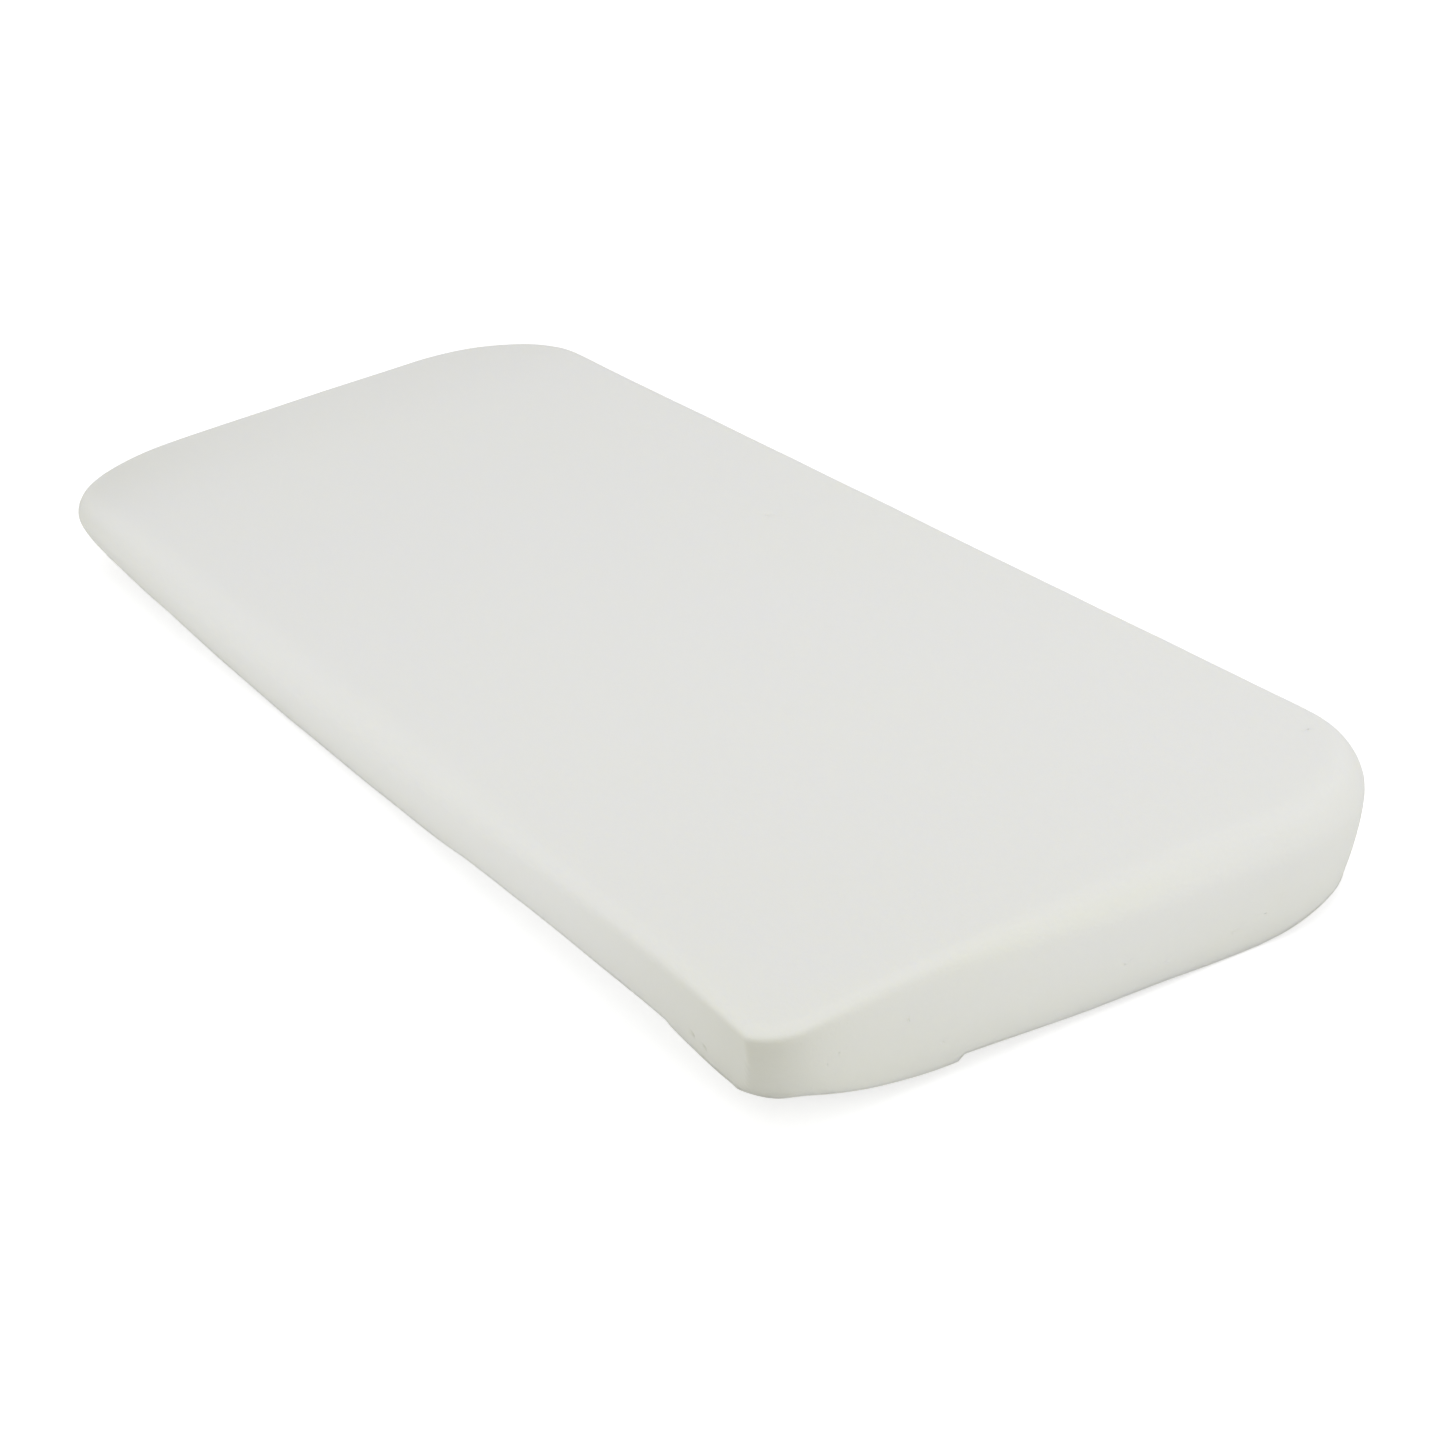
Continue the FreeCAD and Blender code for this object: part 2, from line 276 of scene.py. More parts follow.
class Form:
    """Carries a point of a blank slab to its place on the real moulding."""

    PLAIN_TRIM = 3.0 * MM       # the trimmed edge's height away from the near end and left side
    SIDE_FADE = (30 * MM, 40 * MM)  # where the trimmed edge's marks stop, and over what distance
    CORNER_MIX = 20 * MM        # over what distance the two runs of marks mix at their corner
    TRIM_SLOPE = 2.4            # the bevel below the trimmed edge, reach for each unit of height
    TRIM_REACH = 8 * MM         # the bevel's least reach
    CENTRE_FADE = 80 * MM       # how deep inside the plan the undercut still moves the underside
    LEAST_RADIUS = 2 * MM       # of the tight corner, however deep inside the plan
    ROUNDING_FADE = 30 * MM     # how deep inside the plan a tighter rounding moves the top face
    ROUNDING_MIX = 80 * MM      # over what distance one side's rounding passes into the next's
    END_RUN = (50 * MM, 140 * MM)    # where the near end's rounding grows: its start and run
    LEFT_RUN = (100 * MM, 300 * MM)  # and the left side's
    FULL_SPREAD = 80 * MM       # how far round the tight corner it is fuller
    DIP_SPREAD = 45 * MM        # how far round the tight corner its tip droops
    NOSE_SPREAD = 60 * MM       # how far round the thin corner its nose droops
    THIN_SPREAD = 110 * MM      # how far round the thin corner it is tucked in and curls up
    WAVES = ((1.0, 55 * MM), (0.4, 18 * MM))    # share and size of the waves in the surface
    WAVE_FADE = 20 * MM         # how high above the underside the waves are full

    def __init__(self, shape):
        self.s = shape
        self.half_length = shape.length / 2
        self.half_width = shape.width / 2
        self.wall_top = shape.thickness - shape.top_rounding
        self.blank_corner = shape.near_left_foot + shape.undercut

    def by_corner(self, x, y, corner, spread):
        """1 at a corner of the plan, falling off smoothly round it."""
        away_x = x - corner[0] * self.half_length
        away_y = y - corner[1] * self.half_width
        return math.exp(-(away_x ** 2 + away_y ** 2) / spread ** 2)

    def corner_radius(self, x, y):
        """Plan radius of the blank's corner that is nearest."""
        if x >= 0:
            return self.s.near_right if y >= 0 else self.blank_corner
        return self.s.far_right if y >= 0 else self.s.far_left

    def outline(self, x, y, radius=None):
        """How far inside the full plan a point is, and the plan direction outwards there."""
        radius = self.corner_radius(x, y) if radius is None else radius
        across = abs(x) - self.half_length + radius
        along = abs(y) - self.half_width + radius
        if across > 0 and along > 0:
            reach = math.hypot(across, along)
            out = (across / reach, along / reach)
            depth = radius - reach
        else:
            out = (1.0, 0.0) if across > along else (0.0, 1.0)
            depth = radius - max(across, along)
        return depth, math.copysign(out[0], x), math.copysign(out[1], y)

    def lean(self, height):
        """Share of the undercut at a height: 0 on the upright band, 1 at the underside."""
        waist = self.wall_top - self.s.upright_band
        return clamp(1 - height / waist) ** self.s.undercut_curve

    def tighten(self, x, y, radius, crease):
        """Pulls the blank's wide near left corner out to a corner of this radius.

        The corner's arc is tangent to the near end, and meets the left side at the crease angle."""
        centre_x = self.half_length - self.blank_corner
        centre_y = self.blank_corner - self.half_width
        across, along = x - centre_x, centre_y - y
        if across <= 0 or along <= 0:
            return x, y
        reach = math.hypot(across, along)
        inside = self.blank_corner - reach
        tight = clamp(radius - inside, min(self.LEAST_RADIUS, reach), reach)
        hub_x = reach - tight
        hub_y = reach - tight * math.cos(crease)
        ux, uy = across / reach, along / reach
        if reach * ux / uy <= hub_x + tight * math.sin(crease):
            new = reach / uy
        elif reach * uy / ux <= hub_y:
            new = reach / ux
        else:
            middle = hub_x * ux + hub_y * uy
            apart = hub_x ** 2 + hub_y ** 2 - tight ** 2
            new = middle + math.sqrt(max(0.0, middle ** 2 - apart))
        return centre_x + ux * new, centre_y - uy * new

    def rounding(self, x, y):
        """Rounding of the top edge beside a blank point: it differs from side to side."""
        s = self.s
        from_near = self.half_length - x
        from_left = self.half_width + y
        end = s.end_rounding
        end += (s.right_rounding - end) * grow(from_left, *self.END_RUN)
        left = s.left_rounding
        left += (s.left_far_rounding - left) * grow(from_near, *self.LEFT_RUN)
        value = s.top_rounding
        value += (left - value) * (1 - ease(from_left / self.ROUNDING_MIX))
        value += (end - value) * (1 - ease(from_near / self.ROUNDING_MIX))
        thin = self.by_corner(x, y, FAR_LEFT, self.ROUNDING_MIX / 2)
        return value + (s.thin_rounding - value) * thin

    def extra_tuck(self, x, y):
        """How much further the side has curved in at the underside, beside two of the corners."""
        near = self.by_corner(x, y, NEAR_LEFT, self.FULL_SPREAD)
        far = self.by_corner(x, y, FAR_LEFT, self.THIN_SPREAD)
        return self.s.far_left_tuck * far - self.s.near_left_fullness * near

    def tight_corner(self, share):
        """The near left corner's plan radius and crease angle at a share of the undercut."""
        s = self.s
        radius = s.near_left + (s.near_left_foot - s.near_left + s.undercut) * share
        return radius, s.near_left_crease * (1 - share ** 2)

    def plan(self, x, y, share, extra=0.0):
        """Plan position of a blank point, where this share of the undercut has been reached."""
        s = self.s
        radius, crease = self.tight_corner(share)
        depth = max(0.0, self.outline(x, y)[0])
        x, y = self.tighten(x, y, radius, crease)
        corner = radius if x >= 0 and y < 0 else None
        _, out_x, out_y = self.outline(x, y, corner)
        inset = (s.undercut + self.extra_tuck(x, y)) * share + extra
        inset *= clamp(1 - depth / self.CENTRE_FADE)
        return x - out_x * inset, y - out_y * inset

    def trim(self, x, y):
        """Height of the trimmed lower edge beside a blank point."""
        x, y = self.plan(x, y, 1.0)
        from_near = self.half_length - x
        from_left = self.half_width + y
        near = height_between(NEAR_TRIM, from_left)
        left = height_between(LEFT_TRIM, from_near)
        mix = ease(0.5 + (from_left - from_near) / (2 * self.CORNER_MIX))
        start, run = self.SIDE_FADE
        marked = clamp(1 - (min(from_near, from_left) - start) / run)
        return (left + (near - left) * mix) * marked + self.PLAIN_TRIM * (1 - marked)

    def bevel_reach(self, edge):
        """How far inwards the bevel runs from a trimmed edge at this height."""
        return max(self.TRIM_REACH, edge * self.TRIM_SLOPE)

    def warp(self, x, y, height):
        """Height after the moulding's own unevenness: its corners aren't equally thick."""
        s = self.s
        u = x / s.length + 0.5
        v = y / s.width + 0.5
        rise = (
            s.near_left_rise * u * (1 - v) + s.near_right_rise * u * v
            + s.far_left_rise * (1 - u) * (1 - v) + s.far_right_rise * (1 - u) * v
        )
        rise -= s.near_left_dip * self.by_corner(x, y, NEAR_LEFT, self.DIP_SPREAD)
        rise -= s.far_left_dip * self.by_corner(x, y, FAR_LEFT, self.NOSE_SPREAD)
        lift = s.far_left_lift * self.by_corner(x, y, FAR_LEFT, self.THIN_SPREAD)
        share = height / s.thickness
        return height + rise * share + lift * (1 - share)

    def wave(self, x, y, z, size):
        """Gentle, repeatable unevenness of the skin, from -1 to 1."""
        return noise.noise(Vector((x, y, z)) / size)

    def settle(self, point):
        """Place on the moulding of a point of the body's blank."""
        s = self.s
        x, y, z = point
        depth, out_x, out_y = self.outline(x, y)
        edge = self.trim(x, y)
        rounding = self.rounding(x, y)
        wall_top = s.thickness - rounding
        if z <= SAME:
            fall = clamp(1 - depth / self.bevel_reach(edge))
            floor = min(s.panel_thickness, edge)
            height = floor + (edge - floor) * fall
        elif z < self.wall_top:
            height = edge + (wall_top - edge) * z / self.wall_top
        else:
            height = s.thickness - (s.thickness - z) * rounding / s.top_rounding
            spare = s.top_rounding - rounding
            if depth < s.top_rounding:
                shift = spare * depth / s.top_rounding
            else:
                shift = spare * clamp(1 - (depth - s.top_rounding) / self.ROUNDING_FADE)
            x, y = x + out_x * shift, y + out_y * shift
        x, y = self.plan(x, y, self.lean(max(height, edge)))
        bump = sum(share * self.wave(x, y, height, size) for share, size in self.WAVES)
        bump *= s.unevenness * grow(height, s.panel_thickness, self.WAVE_FADE)
        if z > self.wall_top:
            height += bump
        else:
            _, out_x, out_y = self.outline(x, y)
            x, y = x + out_x * bump, y + out_y * bump
        return Vector((x, y, self.warp(x, y, height)))

    def rim(self, x, y, outwards):
        """A point of the trimmed edge, moved outwards."""
        _, out_x, out_y = self.outline(x, y)
        return self.settle((x, y, 0.0)) + Vector((out_x, out_y, 0.0)) * outwards


# ---------------------------------------------------------------------------------------------
# Modelling helpers
# ---------------------------------------------------------------------------------------------

def leave_edit_mode():
    if bpy.context.mode != "OBJECT":
        bpy.ops.object.mode_set(mode="OBJECT")


def make_active(part):
    """Selects one object alone, in object mode."""
    leave_edit_mode()
    bpy.ops.object.select_all(action="DESELECT")
    part.select_set(True)
    bpy.context.view_layer.objects.active = part


def pick(part, kind, test):
    """Selects, in edit mode, only the edges or faces that pass a test."""
    modes = {"edges": "EDGE", "faces": "FACE"}
    bpy.ops.mesh.select_mode(type=modes[kind])
    bpy.ops.mesh.select_all(action="DESELECT")
    mesh = bmesh.from_edit_mesh(part.data)
    picked = [item for item in getattr(mesh, kind) if test(item)]
    if not picked:
        raise RuntimeError(f"{part.name}: nothing was found to select among its {kind}")
    for item in picked:
        item.select_set(True)
    mesh.select_flush_mode()
    bmesh.update_edit_mesh(part.data)


# How many segments round off an upright edge of a slab: the tight corner's, and the others.
TIGHT_STEPS, WIDE_STEPS = 72, 28


def blank_slab(form, name, height):
    """Adds a slab with the mattress's full plan, its four upright edges rounded."""
    s = form.s
    leave_edit_mode()
    bpy.ops.object.select_all(action="DESELECT")
    bpy.ops.mesh.primitive_cube_add(
        size=1.0, location=(0, 0, height / 2), scale=(s.length, s.width, height))
    slab = bpy.context.object
    slab.name = name
    slab.data.name = name
    bpy.ops.object.transform_apply(location=True, rotation=True, scale=True)
    bpy.ops.object.mode_set(mode="EDIT")
    corners = (
        (NEAR_LEFT, form.blank_corner, TIGHT_STEPS), (NEAR_RIGHT, s.near_right, WIDE_STEPS),
        (FAR_RIGHT, s.far_right, WIDE_STEPS), (FAR_LEFT, s.far_left, WIDE_STEPS),
    )
    for (side_x, side_y), radius, steps in corners:
        def upright_here(edge):
            a, b = (v.co for v in edge.verts)
            upright = abs(a.z - b.z) > height / 2
            middle = (a + b) / 2
            here = (
                abs(middle.x - side_x * form.half_length) < SAME
                and abs(middle.y - side_y * form.half_width) < SAME
            )
            return upright and here
        pick(slab, "edges", upright_here)
        round_edges(radius, steps)
    return slab


def pick_level(part, height, upwards):
    """Selects the level faces at a height that look up or down."""
    direction = 1 if upwards else -1
    pick(part, "faces", lambda face: (
        face.normal.z * direction > 0.9 and abs(face.calc_center_median().z - height) < SAME))


def pick_rim(part, height):
    """Selects the edges all round a slab at a height."""
    pick(part, "edges", lambda edge: (
        all(abs(v.co.z - height) < SAME for v in edge.verts)
        and any(abs(face.normal.z) < 0.5 for face in edge.link_faces)))


def round_edges(radius, segments):
    """Rounds off the selected edges of the part being edited."""
    bpy.ops.mesh.bevel(
        offset_type="OFFSET", offset=radius, segments=segments, profile=0.5, affect="EDGES",
        clamp_overlap=False)


def fine_cuts(marks):
    """Distances, in metres, of the extra cuts that the sudden steps among the marks need."""
    sudden = 4      # marks that are closer than this, in millimetres, make a sudden step
    steps = (-1.6, -0.9, -0.45, 0, 0.45, 0.9, 1.6)
    cuts = []
    for (start, _), (end, _) in zip(marks, marks[1:]):
        if end - start < sudden:
            middle, reach = (start + end) / 2, end - start
            cuts += [(middle + reach * step) * MM for step in steps]
    return cuts


def cut_columns(form, spacing, fine=True):
    """Cuts the part being edited into columns along and across the mattress."""
    across = int(form.half_length / spacing)
    along = int(form.half_width / spacing)
    xs = [i * spacing for i in range(-across, across + 1)]
    ys = [i * spacing for i in range(-along, along + 1)]
    if fine:
        xs += [form.half_length - cut for cut in fine_cuts(LEFT_TRIM)]
        ys += [cut - form.half_width for cut in fine_cuts(NEAR_TRIM)]
    bpy.ops.mesh.select_mode(type="FACE")
    for x in sorted(xs):
        bpy.ops.mesh.select_all(action="SELECT")
        bpy.ops.mesh.bisect(plane_co=(x, 0, 0), plane_no=(1, 0, 0))
    for y in sorted(ys):
        bpy.ops.mesh.select_all(action="SELECT")
        bpy.ops.mesh.bisect(plane_co=(0, y, 0), plane_no=(0, 1, 0))


def cut_rows(heights):
    """Cuts the part being edited level at each height."""
    for z in heights:
        bpy.ops.mesh.select_all(action="SELECT")
        bpy.ops.mesh.bisect(plane_co=(0, 0, z), plane_no=(0, 0, 1))


def settle_part(part, place):
    """Moves every vertex of a finished blank to its place on the moulding."""
    leave_edit_mode()
    for vertex in part.data.vertices:
        vertex.co = place(vertex.co.copy())
    part.data.update()


def skin_spot(part, place):
    """The spot on a finished part that is nearest to a place, its normal and its face's index."""
    leave_edit_mode()
    found, centre, normal, index = part.closest_point_on_mesh(place)
    if not found:
        raise RuntimeError(f"{part.name}: no face lies near {tuple(place)}")
    return centre, normal, index


# The rings of a pinhole, as shares of its width: radius, and height from the skin.
PINHOLE_RINGS = ((0.5, 0.0), (0.36, -0.1), (0.18, -0.2))


def press_pinhole(part, place, width):
    """Sinks a small round pit into the face of a finished part that is nearest to a place."""
    centre, normal, index = skin_spot(part, place)
    make_active(part)
    bpy.ops.object.mode_set(mode="EDIT")
    pick(part, "faces", lambda face: face.index == index)
    bpy.ops.mesh.inset(thickness=0.2 * MM, depth=0)
    bpy.ops.mesh.select_mode(type="VERT")
    bpy.ops.mesh.bevel(offset=0.3 * MM, segments=1, affect="VERTICES")
    for i, (radius, height) in enumerate(PINHOLE_RINGS):
        if i > 0:
            bpy.ops.mesh.extrude_region_move()
        ring_pit(part, centre, normal, width * radius, width * height)
    leave_edit_mode()


def ring_pit(part, centre, normal, radius, height):
    """Places the selected vertices in a circle round a pit's centre, at a height from the skin."""
    mesh = bmesh.from_edit_mesh(part.data)
    for vertex in mesh.verts:
        if vertex.select:
            flat = vertex.co - centre
            flat -= normal * flat.dot(normal)
            vertex.co = centre + flat.normalized() * radius + normal * height
    bmesh.update_edit_mesh(part.data)


def press_dimple(part, place, width, depth):
    """Dents a finished part's skin at a place: the patch there is cut finer, then pushed in."""
    centre, normal, _ = skin_spot(part, place)
    patch = 2.5 * width
    make_active(part)
    bpy.ops.object.mode_set(mode="EDIT")
    pick(part, "faces", lambda face: (
        face.normal.dot(normal) > 0.5 and (face.calc_center_median() - centre).length < patch))
    bpy.ops.mesh.subdivide(number_cuts=3)
    mesh = bmesh.from_edit_mesh(part.data)
    for vertex in mesh.verts:
        vertex.co -= normal * depth * bell((vertex.co - centre).length, 0, width / 2)
    bmesh.update_edit_mesh(part.data)
    leave_edit_mode()


def drop_slivers(part):
    """Closes up the edges of a finished part that are too short to see."""
    make_active(part)
    bpy.ops.object.mode_set(mode="EDIT")
    bpy.ops.mesh.select_all(action="SELECT")
    bpy.ops.mesh.dissolve_degenerate(threshold=0.03 * MM)
    leave_edit_mode()


def smooth(part, angle):
    """Shades a part smooth, apart from edges that are sharper than an angle in degrees."""
    make_active(part)
    bpy.ops.object.shade_smooth_by_angle(angle=math.radians(angle))


def sharpen_foot(part):
    """Keeps the trimmed edge crisp, where the sides meet the underside."""
    least_angle = math.radians(30)
    underside = -0.6    # a face whose normal points down more than this is on the underside

    def at_foot(edge):
        lean = [face.normal.z for face in edge.link_faces]
        return (
            len(lean) == 2 and edge.calc_face_angle() > least_angle
            and min(lean) < underside < max(lean)
        )

    make_active(part)
    bpy.ops.object.mode_set(mode="EDIT")
    pick(part, "edges", at_foot)
    bpy.ops.mesh.mark_sharp()
    leave_edit_mode()


# ---------------------------------------------------------------------------------------------
# Foam material
# ---------------------------------------------------------------------------------------------

def node(tree, kind, place, **inputs):
    """Adds a node, with plain values on the sockets that are named."""
    made = tree.nodes.new(kind)
    made.location = place
    for name, value in inputs.items():
        made.inputs[name.replace("_", " ")].default_value = value
    return made


def maths(tree, operation, place, *values):
    """Adds a Math node that is fed by sockets and plain numbers."""
    made = node(tree, "ShaderNodeMath", place)
    made.operation = operation
    for socket, value in zip(made.inputs, values):
        if isinstance(value, bpy.types.NodeSocket):
            tree.links.new(value, socket)
        else:
            socket.default_value = value
    return made


def vertex_mark(tree, name, place):
    """Adds a node that reads one of the marks that each vertex of a piece carries."""
    made = node(tree, "ShaderNodeAttribute", place)
    made.attribute_name = name
    return made.outputs["Fac"]


def colour_mix(tree, place, share, second):
    """Adds a Mix node from whatever is linked to A towards a second colour, by a share."""
    made = node(tree, "ShaderNodeMix", place)
    made.data_type = "RGBA"
    made.inputs["B"].default_value = (*second, 1)
    tree.links.new(share, made.inputs["Factor"])
    return made


def foam_material(name, finish, cell_strength, glow):
    """Off-white moulded foam: a matt, fine-celled skin with faint yellow-green mottling."""
    material = bpy.data.materials.new(name)
    material.use_nodes = True
    tree = material.node_tree
    tree.nodes.clear()
    link = tree.links.new
    where = node(tree, "ShaderNodeTexCoord", (-1100, 0))

    clouds = node(tree, "ShaderNodeTexNoise", (-900, 300), Scale=9.0, Detail=3.0)
    blotches = node(tree, "ShaderNodeTexNoise", (-900, 60), Scale=60.0, Detail=4.0)
    cells = node(tree, "ShaderNodeTexVoronoi", (-900, -200), Scale=1.0 / finish.cell_size)
    grain = node(tree, "ShaderNodeTexNoise", (-900, -440), Scale=0.6 / finish.cell_size, Detail=5.0)
    for texture in (clouds, blotches, cells, grain):
        link(where.outputs["Object"], texture.inputs["Vector"])

    # The clouds and blotches vary how yellowed the foam looks, and the cells make its relief.
    mottle = maths(tree, "MULTIPLY_ADD", (-680, 200), clouds.outputs["Fac"], 0.4, -0.2)
    patchy = maths(
        tree, "MULTIPLY_ADD", (-500, 200), blotches.outputs["Fac"], 0.15, mottle.outputs[0])
    total = maths(
        tree, "ADD", (-320, 320), patchy.outputs[0], vertex_mark(tree, "aged", (-900, 520)))
    total.use_clamp = True
    # Painted side light and yellowing: the mottling and the vertex mark tint the foam towards the
    # yellower colour.
    colour = colour_mix(tree, (-120, 300), total.outputs[0], finish.aged)
    colour.inputs["A"].default_value = (*finish.foam, 1)
    # Painted shade: the vertex mark darkens the foam towards the dull olive colour.
    painted_shade_mix = colour_mix(
        tree, (-120, 560), vertex_mark(tree, "soiled", (-900, 720)), finish.soiled)
    link(colour.outputs["Result"], painted_shade_mix.inputs["A"])

    relief = maths(
        tree, "MULTIPLY_ADD", (-680, -300), cells.outputs["Distance"], 0.5, grain.outputs["Fac"])
    bump = node(
        tree, "ShaderNodeBump", (-320, -300), Strength=cell_strength, Distance=0.3 * MM)
    link(relief.outputs[0], bump.inputs["Height"])

    skin = node(
        tree, "ShaderNodeBsdfPrincipled", (120, 100), Roughness=finish.roughness,
        Specular_IOR_Level=0.3, Subsurface_Weight=glow, Subsurface_Radius=(1.0, 0.95, 0.7),
        Subsurface_Scale=finish.glow_depth, Sheen_Weight=0.05)
    link(painted_shade_mix.outputs["Result"], skin.inputs["Base Color"])
    link(bump.outputs["Normal"], skin.inputs["Normal"])
    out = node(tree, "ShaderNodeOutputMaterial", (420, 100))
    link(skin.outputs["BSDF"], out.inputs["Surface"])
    return material


# Where the foam is painted yellower, for yellowing and for side light: a pair is a start and a run,
# or a middle and a spread.
TINT_CORNER = 60 * MM           # how far round the tight corner it is most yellowed
TINT_EDGE = (2 * MM, 26 * MM)   # inwards from the edge of the plan
TINT_LOW = 40 * MM              # up to this height
# A level face gets less of this painted tint than a side does.
LEVEL = (0.4, 0.5)              # of the normal's rise: a level face is yellowed less
SMEAR_DEPTH = 16 * MM           # the smear's reach from the near end
SMEAR_START, SMEAR_STOP = (60, 20), (150, 50)   # millimetres from the left side
SMEAR_BAND = (45, 5)            # millimetres up
RUN_PLACE, RUN_HEIGHT = (79, 6), (28, 10)       # millimetres from the left side, and up
PATCH_SIZE = 12 * MM            # of the patches in the smear


def yellowing_and_side_light_share(form, x, y, z, upward):
    """How far the foam is tinted yellower, partly for yellowing and partly as painted side light:
    most round the tight corner, low on the sides and in a smear under the near end's top edge. The
    sides are painted a little yellower and lighter than the top, and a level face gets less of it."""
    near = form.by_corner(x, y, NEAR_LEFT, TINT_CORNER)
    depth, _, _ = form.outline(x, y, form.s.near_left if x > 0 and y < 0 else None)
    edge = (1 - grow(depth, *TINT_EDGE)) * (1 - 0.5 * grow(upward, *LEVEL))
    low = 1 - grow(z, 0, TINT_LOW)
    from_left = (y + form.half_width) / MM
    at_end = 1 - grow(form.half_length - x, 0, SMEAR_DEPTH)
    along = grow(from_left, *SMEAR_START) * (1 - grow(from_left, *SMEAR_STOP))
    run = bell(from_left, *RUN_PLACE) * grow(z / MM, *RUN_HEIGHT)
    patchy = 0.6 + 0.4 * form.wave(x, y, z, PATCH_SIZE)
    smear = at_end * along * max(bell(z / MM, *SMEAR_BAND), 0.7 * run) * patchy
    return clamp(0.45 * near * edge + 0.35 * edge * low + 0.12 * edge + 0.5 * smear)


# Where painted shade darkens the foam: shares and spreads beside the crease, on the near end and
# on the left side,
STRIP_SHADE = ((0.75, 20 * MM), (0.25, 80 * MM))
SIDE_SHADE = ((0.56, 110 * MM), (0.2, 25 * MM))
# how far round a corner, or from the far end,
TIP_SHADE, NOSE_SHADE, FAR_SHADE = 160 * MM, 70 * MM, 120 * MM
# shares and spreads of painted shade on the rolled top edge round two corners, toning down the
# rounding's light,
ROLLED_SHADE = ((0.3, FAR_LEFT, 180 * MM), (0.15, NEAR_RIGHT, 70 * MM))
# a start and a run of the normal's rise, past which a face isn't a side, or isn't rolled,
UPRIGHT, ROLLED = (0.2, 0.5), (0.6, 0.35)
# and how far round a pinhole its painted shade reaches, as a share of its width.
PINHOLE_SHADE = 0.4


def painted_shade_share(form, x, y, z, upward):
    """How much painted shade darkens the foam: most in the strip beside the tight corner's crease,
    where it starts sharply, and less along both sides from there and round the thin corner; also on
    the rolled top edge at two corners, towards the far end and in the left side's pinholes."""
    radius, crease = form.tight_corner(form.lean(z))
    from_near = form.half_length - x
    from_left = form.half_width + y
    from_crease = radius * (1 - math.sin(crease)) - from_near
    away = math.hypot(from_crease, from_left)
    marks = STRIP_SHADE if from_crease > 0 else SIDE_SHADE
    shade_share = sum(share * bell(away, 0, spread) for share, spread in marks)
    side = 1 - grow(upward, *UPRIGHT)
    rolled = 1 - grow(upward, *ROLLED)
    rolled *= sum(share * form.by_corner(x, y, *where) for share, *where in ROLLED_SHADE)
    thin = form.by_corner(x, y, FAR_LEFT, NOSE_SHADE)
    far = 1 - grow(form.half_length + x, 0, FAR_SHADE)
    near = form.by_corner(x, y, NEAR_LEFT, TIP_SHADE)
    # Painted shade in the left side's pinhole dimples.
    pits = 0.0
    if y < 0:
        for place, height, width in LEFT_PINHOLES:
            gap = math.hypot(from_near / MM - place, z / MM - height) / width
            pits += bell(gap, 0, PINHOLE_SHADE)
    # Painted shade: the crease strip and sides, the rolled edges, the thin corner, the far end and
    # the top beside the tight corner are darkened.
    shade_share = shade_share * side + rolled + 0.3 * thin + 0.12 * far + 0.1 * near * (1 - side) + pits
    return clamp(shade_share)


def mark_foam(form, part):
    """Writes at each vertex how far the foam is tinted yellower, for yellowing and painted side
    light, and how much painted shade darkens it.
    """
    aged, soiled = [], []
    for vertex in part.data.vertices:
        x, y, z = vertex.co
        aged.append(yellowing_and_side_light_share(form, x, y, z, vertex.normal.z))
        soiled.append(painted_shade_share(form, x, y, z, vertex.normal.z))
    for name, values in (("aged", aged), ("soiled", soiled)):
        layer = part.data.attributes.new(name, "FLOAT", "POINT")
        layer.data.foreach_set("value", values)


def finish_piece(form, part, nodes, material, angle):
    """Colours a piece, ties it to the frame and hides the CAD nodes it stands for."""
    mark_foam(form, part)
    part.data.materials.clear()
    part.data.materials.append(material)
    smooth(part, angle)
    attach(part, "root")
    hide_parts(*nodes)


# ---------------------------------------------------------------------------------------------
# Pieces
# ---------------------------------------------------------------------------------------------

